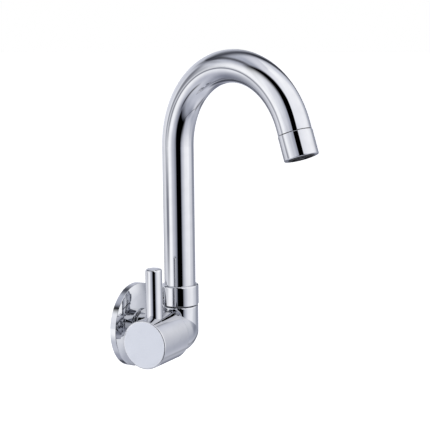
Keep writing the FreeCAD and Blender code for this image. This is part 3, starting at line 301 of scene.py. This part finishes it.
def chrome_plate(name, patch, haze, wave, wave_depth):
    """Chrome plate on polished brass: a clear mirror that keeps six tenths of the light, so
    mirror images of mirror images go dark. The polishing leaves a slow wave, which bends the
    reflections a little, and patches of very faint haze. Both wave sizes are in millimetres."""
    made, tree, shader, place = new_finish(name)
    clouds = add(tree, "ShaderNodeTexNoise", {
        "Vector": place, "Scale": 1 / (8 * MM), "Detail": 2.0})
    wiped = add(tree, "ShaderNodeTexNoise", {"Vector": place, "Scale": 1 / (3 * MM), "Detail": 4.0})
    waves = add(tree, "ShaderNodeTexNoise", {
        "Vector": place, "Scale": 1 / (wave * MM), "Detail": 1.0})
    # polishing marks, drawn 0.8 mm wide, much coarser than the real ones
    marks = add(tree, "ShaderNodeTexNoise", {
        "Vector": place, "Scale": 1 / (0.8 * MM), "Detail": 2.0})
    feed(tree, shader, {
        "Metallic": 1.0,
        "Base Color": add(tree, "ShaderNodeValToRGB", {"Fac": clouds},
                          stops=((0.35, CHROME), (0.7, patch))),
        "Roughness": add(tree, "ShaderNodeMapRange", {
            "Value": wiped, "From Min": 0.45, "From Max": 0.8, "To Min": 0.012, "To Max": haze}),
        "Normal": add(tree, "ShaderNodeBump", {
            "Height": marks, "Distance": 0.0004 * MM,
            "Normal": add(tree, "ShaderNodeBump", {
                "Height": waves, "Distance": wave_depth * MM})})})
    return made, tree, shader, place


def cast_body_finish():
    """Chrome plate on the cast body, rippled by hand polishing. The shank behind the flange and
    the bore stay bare turned brass, with the pipe thread cut into the shank."""
    made, tree, shader, place = chrome_plate(
        "chrome_on_cast_brass", "#C6C8CC", haze=0.05, wave=15, wave_depth=0.014)
    parts = add(tree, "ShaderNodeSeparateXYZ", {"Vector": place})
    along = parts.outputs["Y"]
    across = add(tree, "ShaderNodeCombineXYZ", {"X": parts.outputs["X"], "Y": parts.outputs["Z"]})
    reach = add(tree, "ShaderNodeVectorMath", {0: across}, operation="LENGTH").outputs["Value"]
    behind = add(tree, "ShaderNodeMapRange", {
        "Value": along, "From Min": -(PLATE_END + 0.2) * MM, "From Max": -(PLATE_END - 0.2) * MM})
    inside = add(tree, "ShaderNodeMapRange", {
        "Value": reach, "From Min": (SHANK_BORE + 0.4) * MM, "From Max": (SHANK_BORE + 0.2) * MM})
    deep = add(tree, "ShaderNodeMapRange", {
        "Value": along, "From Min": -(BORE_END + 0.5) * MM, "From Max": -(BORE_END - 0.5) * MM})
    bore = add(tree, "ShaderNodeMath", {0: inside, 1: deep}, operation="MULTIPLY")
    bare = add(tree, "ShaderNodeMath", {0: behind, 1: bore}, operation="MAXIMUM")
    # tool marks of the lathe, drawn 0.5 mm apart, coarser than the real ones
    cut = add(tree, "ShaderNodeTexWave", {
        "Vector": place, "Scale": WAVE_TURN / (0.5 * MM), "Distortion": 0.4},
        wave_type="BANDS", bands_direction="Y").outputs["Fac"]
    # thread: half-inch pipe thread, 14 turns to the inch, darker in its root
    around = add(tree, "ShaderNodeTexGradient", {"Vector": across},
                 gradient_type="RADIAL").outputs["Fac"]
    turns = add(tree, "ShaderNodeMath", {0: along, 1: 1 / (THREAD_PITCH * MM), 2: around},
                operation="MULTIPLY_ADD")
    flank = add(tree, "ShaderNodeMath", {0: turns, 1: 0.5}, operation="PINGPONG")
    start = add(tree, "ShaderNodeMapRange", {
        "Value": along,
        "From Min": (THREAD_START - 0.3) * MM, "From Max": (THREAD_START + 0.3) * MM})
    crest = add(tree, "ShaderNodeMapRange", {
        "Value": reach, "From Min": (SHANK_CREST - 0.1) * MM, "From Max": (SHANK_CREST + 0.1) * MM})
    threaded = add(tree, "ShaderNodeMath", {0: start, 1: crest}, operation="MULTIPLY")
    thread = add(tree, "ShaderNodeMath", {0: flank, 1: threaded}, operation="MULTIPLY")
    root = add(tree, "ShaderNodeMapRange", {"Value": flank, "From Min": 0.22, "From Max": 0.04})
    darker_root = add(tree, "ShaderNodeMath", {0: root, 1: threaded}, operation="MULTIPLY")
    turned = add(tree, "ShaderNodeValToRGB", {"Fac": cut},
                 stops=((0.0, BRASS_SHADE), (1.0, BRASS)))
    brass = add(tree, "ShaderNodeMix", {0: darker_root, 6: turned, 7: "#4A3617"},
                data_type="RGBA").outputs[2]
    plate, haze, mirror = (shader.inputs[socket].links[0].from_socket
                           for socket in ("Base Color", "Roughness", "Normal"))
    tooled = add(tree, "ShaderNodeMath", {0: cut, 1: bare}, operation="MULTIPLY")
    feed(tree, shader, {
        "Base Color": add(tree, "ShaderNodeMix", {0: bare, 6: plate, 7: brass},
                          data_type="RGBA").outputs[2],
        "Roughness": add(tree, "ShaderNodeMix", {0: bare, 2: haze, 3: 0.28}),
        "Normal": add(tree, "ShaderNodeBump", {
            "Height": thread, "Distance": 1.6 * MM,
            "Normal": add(tree, "ShaderNodeBump", {
                "Height": tooled, "Distance": 0.01 * MM, "Normal": mirror})})})
    return made


def satin_cap_finish():
    """Satin chrome on the turned cap: fine rings of the tool spread the light to an even grey."""
    made, tree, shader, place = new_finish("satin_chrome_on_turned_brass")
    centred = add(tree, "ShaderNodeMapping", {"Vector": place, "Location": (0, WALL_REACH * MM, 0)})
    # tool rings, drawn 0.45 mm apart, coarser than the real ones
    rings = add(tree, "ShaderNodeTexWave", {
        "Vector": centred, "Scale": WAVE_TURN / (0.45 * MM), "Distortion": 1.2, "Detail": 2.0},
        wave_type="RINGS", rings_direction="X").outputs["Fac"]
    clouds = add(tree, "ShaderNodeTexNoise", {
        "Vector": place, "Scale": 1 / (5 * MM), "Detail": 3.0})
    grit = add(tree, "ShaderNodeTexNoise", {
        "Vector": place, "Scale": 1 / (0.35 * MM), "Detail": 2.0})
    tone = add(tree, "ShaderNodeMath", {0: rings, 1: 0.25, 2: clouds}, operation="MULTIPLY_ADD")
    feed(tree, shader, {
        "Metallic": 1.0,
        "Base Color": add(tree, "ShaderNodeValToRGB", {"Fac": tone},
                          stops=((0.3, "#CED1D9"), (0.9, "#D6D9E0"))),
        "Roughness": add(tree, "ShaderNodeMapRange", {
            "Value": clouds, "From Min": 0.3, "From Max": 0.7, "To Min": 0.38, "To Max": 0.46}),
        "Normal": add(tree, "ShaderNodeBump", {
            "Height": rings, "Distance": 0.003 * MM,
            "Normal": add(tree, "ShaderNodeBump", {"Height": grit, "Distance": 0.004 * MM})})})
    return made


def turned_brass(name, way, light, dark):
    """Brass from the lathe: bright tool rings across its axis, and stains where it was handled."""
    made, tree, shader, place = new_finish(name)
    # tool rings, drawn 0.4 mm apart, coarser than the real ones
    cut = add(tree, "ShaderNodeTexWave", {
        "Vector": place, "Scale": WAVE_TURN / (0.4 * MM), "Distortion": 0.6, "Detail": 2.0},
        wave_type="BANDS", bands_direction=way).outputs["Fac"]
    stains = add(tree, "ShaderNodeTexNoise", {
        "Vector": place, "Scale": 1 / (3.5 * MM), "Detail": 4.0})
    tone = add(tree, "ShaderNodeMath", {0: cut, 1: 0.5, 2: stains}, operation="MULTIPLY_ADD")
    feed(tree, shader, {
        "Metallic": 1.0,
        "Base Color": add(tree, "ShaderNodeValToRGB", {"Fac": tone},
                          stops=((0.45, dark), (0.95, light))),
        "Roughness": add(tree, "ShaderNodeMapRange", {
            "Value": stains, "From Min": 0.3, "From Max": 0.7, "To Min": 0.18, "To Max": 0.38}),
        "Normal": add(tree, "ShaderNodeBump", {"Height": cut, "Distance": 0.012 * MM})})
    return made


def moulded_skin(name, light, dark, smooth, dull, grain, depth):
    """Moulded rubber or plastic: an even colour and the fine grain of its steel mould. The
    roughness goes from smooth to dull, and grain and depth are in millimetres."""
    made, tree, shader, place = new_finish(name)
    tone = add(tree, "ShaderNodeTexNoise", {"Vector": place, "Scale": 1 / (4 * MM), "Detail": 3.0})
    flow = add(tree, "ShaderNodeTexNoise", {
        "Vector": place, "Scale": 1 / (1.5 * MM), "Detail": 3.0})
    # grain of the mould, drawn coarser than the real one
    skin = add(tree, "ShaderNodeTexNoise", {
        "Vector": place, "Scale": 1 / (grain * MM), "Detail": 2.0})
    feed(tree, shader, {
        "Base Color": add(tree, "ShaderNodeValToRGB", {"Fac": tone},
                          stops=((0.35, dark), (0.7, light))),
        "Roughness": add(tree, "ShaderNodeMapRange", {
            "Value": flow, "From Min": 0.3, "From Max": 0.7, "To Min": smooth, "To Max": dull}),
        "Normal": add(tree, "ShaderNodeBump", {"Height": skin, "Distance": depth * MM})})
    return made


def foam_rubber():
    """Expanded rubber cut from a sheet: open cells of about 0.8 mm, their hollows darkened with
    painted shade.
    """
    made, tree, shader, place = new_finish("grey_expanded_rubber")
    cells = add(tree, "ShaderNodeTexVoronoi", {"Vector": place, "Scale": 1 / (0.8 * MM)})
    feed(tree, shader, {
        "Base Color": add(tree, "ShaderNodeValToRGB", {"Fac": cells},
                          stops=((0.1, "#3C3D40"), (0.5, "#7B7D81"))),
        "Roughness": add(tree, "ShaderNodeMapRange", {
            "Value": cells, "To Min": 0.95, "To Max": 0.8}),
        "Normal": add(tree, "ShaderNodeBump", {"Height": cells, "Distance": 0.25 * MM})})
    return made


def fibre_board():
    """Pressed red fibre board: short fibres that cross each other, some lighter than others."""
    made, tree, shader, place = new_finish("pressed_red_fibre_board")
    strands = [add(tree, "ShaderNodeTexNoise", {
        "Vector": add(tree, "ShaderNodeMapping", {"Vector": place, "Scale": squeeze}),
        "Scale": 1 / (0.5 * MM), "Detail": 4.0}) for squeeze in ((1, 4, 0.7), (1, 0.7, 4))]
    matted = add(tree, "ShaderNodeMath", {0: strands[0], 1: strands[1]}, operation="MULTIPLY")
    feed(tree, shader, {
        "Base Color": add(tree, "ShaderNodeValToRGB", {"Fac": matted},
                          stops=((0.15, "#6B2F22"), (0.4, "#A85A45"))),
        "Roughness": add(tree, "ShaderNodeMapRange", {
            "Value": matted, "From Min": 0.15, "From Max": 0.4, "To Min": 0.7, "To Max": 0.9}),
        "Normal": add(tree, "ShaderNodeBump", {"Height": matted, "Distance": 0.06 * MM})})
    return made


def lapped_ceramic():
    """Sintered alumina, lapped so flat that it shines, with faint marks of the lapping plate."""
    made, tree, shader, place = new_finish("lapped_alumina")
    clouds = add(tree, "ShaderNodeTexNoise", {
        "Vector": place, "Scale": 1 / (2.5 * MM), "Detail": 3.0})
    # lapping marks, drawn 0.3 mm wide, coarser than the real ones
    drawn = add(tree, "ShaderNodeMapping", {"Vector": place, "Scale": (1, 0.15, 1)})
    marks = add(tree, "ShaderNodeTexNoise", {
        "Vector": drawn, "Scale": 1 / (0.3 * MM), "Detail": 3.0})
    feed(tree, shader, {
        "Base Color": add(tree, "ShaderNodeValToRGB", {"Fac": clouds},
                          stops=((0.3, "#E9E5DA"), (0.7, "#F3F1EA"))),
        "Roughness": add(tree, "ShaderNodeMapRange", {
            "Value": marks, "From Min": 0.3, "From Max": 0.7, "To Min": 0.1, "To Max": 0.22}),
        "Normal": add(tree, "ShaderNodeBump", {"Height": marks, "Distance": 0.002 * MM})})
    return made


def machined_steel():
    """Stainless steel bar and strip as machined: a fine drawn grain."""
    made, tree, shader, place = new_finish("machined_stainless_steel")
    # grain, drawn 0.25 mm wide, coarser than the real one
    drawn = add(tree, "ShaderNodeMapping", {"Vector": place, "Scale": (0.2, 1, 1)})
    grain = add(tree, "ShaderNodeTexNoise", {
        "Vector": drawn, "Scale": 1 / (0.25 * MM), "Detail": 3.0})
    feed(tree, shader, {
        "Metallic": 1.0,
        "Base Color": add(tree, "ShaderNodeValToRGB", {"Fac": grain},
                          stops=((0.3, "#B4B7BB"), (0.7, "#CDD0D3"))),
        "Roughness": add(tree, "ShaderNodeMapRange", {
            "Value": grain, "From Min": 0.3, "From Max": 0.7, "To Min": 0.22, "To Max": 0.36}),
        "Normal": add(tree, "ShaderNodeBump", {"Height": grain, "Distance": 0.004 * MM})})
    return made


def woven_wire():
    """Woven steel wire: two crossing sets of bright wires, with painted shade between them where
    the holes are.
    """
    made, tree, shader, place = new_finish("woven_steel_wire")
    # wires, drawn 0.6 mm apart, coarser than the real screen
    sets = [add(tree, "ShaderNodeTexWave", {"Vector": place, "Scale": WAVE_TURN / (0.6 * MM)},
                wave_type="BANDS", bands_direction=way).outputs["Fac"] for way in ("X", "Y")]
    weave = add(tree, "ShaderNodeMath", {0: sets[0], 1: sets[1]}, operation="MAXIMUM")
    feed(tree, shader, {
        "Metallic": 1.0,
        "Base Color": add(tree, "ShaderNodeValToRGB", {"Fac": weave},
                          stops=((0.55, "#232427"), (0.8, "#C4C7CB"))),
        "Roughness": add(tree, "ShaderNodeMapRange", {
            "Value": weave, "From Min": 0.55, "From Max": 0.9, "To Min": 0.6, "To Max": 0.25}),
        "Normal": add(tree, "ShaderNodeBump", {"Height": weave, "Distance": 0.15 * MM})})
    return made


pressed_chrome = chrome_plate(
    "chrome_on_pressed_brass", "#C6C8CC", haze=0.05, wave=16, wave_depth=0.01)[0]
turned_chrome = chrome_plate(
    "chrome_on_turned_brass", "#C8C9CD", haze=0.045, wave=14, wave_depth=0.007)[0]
tube_chrome = chrome_plate(
    "chrome_on_drawn_brass_tube", "#C8C9CD", haze=0.04, wave=22, wave_depth=0.007)[0]
brass = turned_brass("turned_brass", "X", BRASS, BRASS_STAIN)
rubber = moulded_skin("moulded_black_rubber", "#222225", "#151517",
                      smooth=0.5, dull=0.7, grain=0.4, depth=0.01)
acetal = moulded_skin("moulded_white_acetal", "#F1EFE8", "#E6E3DA",
                      smooth=0.3, dull=0.42, grain=0.5, depth=0.006)
# black acetal: its near-black is also painted shade for the seam under the spout collar
seam_shade_black_acetal = moulded_skin("moulded_black_acetal_with_seam_shade", "#1B1C1F", "#111214",
                            smooth=0.4, dull=0.55, grain=0.5, depth=0.01)
grey_plastic = moulded_skin("moulded_dark_grey_plastic", "#2B2C2F", "#202124",
                            smooth=0.35, dull=0.5, grain=0.5, depth=0.01)
ceramic = lapped_ceramic()
steel = machined_steel()
finishes = {
    "wall_flange": pressed_chrome,
    "valve_body": cast_body_finish(),
    "handle_hub": turned_chrome,
    "hub_cap": satin_cap_finish(),
    "lever_pin": turned_chrome,
    "spout_collar": turned_chrome,
    "spout_tube": tube_chrome,
    "aerator_housing": turned_chrome,
    # the joint line over this ring is dark: the ring is painted near-black, painted shade for the
    # deep seam that light doesn't reach
    "outlet_ferrule": turned_brass("brass_ring_painted_seam_shade", "Z", "#3A3328", "#15130F"),
    "cartridge_housing": brass,
    "cartridge_spindle": brass,
    "seat_seal": rubber,
    "spindle_o_rings": rubber,
    "swivel_o_rings": rubber,
    "aerator_washer": rubber,
    "flange_seal": foam_rubber(),
    "housing_gasket": fibre_board(),
    "spindle_washer": acetal,
    "swivel_bush": acetal,
    "aerator_diffuser": acetal,
    "swivel_washer": seam_shade_black_acetal,
    "aerator_insert": grey_plastic,
    "fixed_disc": ceramic,
    "moving_disc": ceramic,
    "spindle_clip": steel,
    "handle_screw": steel,
    "collar_screw": steel,
    "aerator_screens": woven_wire(),
}
for name, finish in finishes.items():
    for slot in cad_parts[name].material_slots:
        slot.material = finish

build_floor()
hang_lamp()
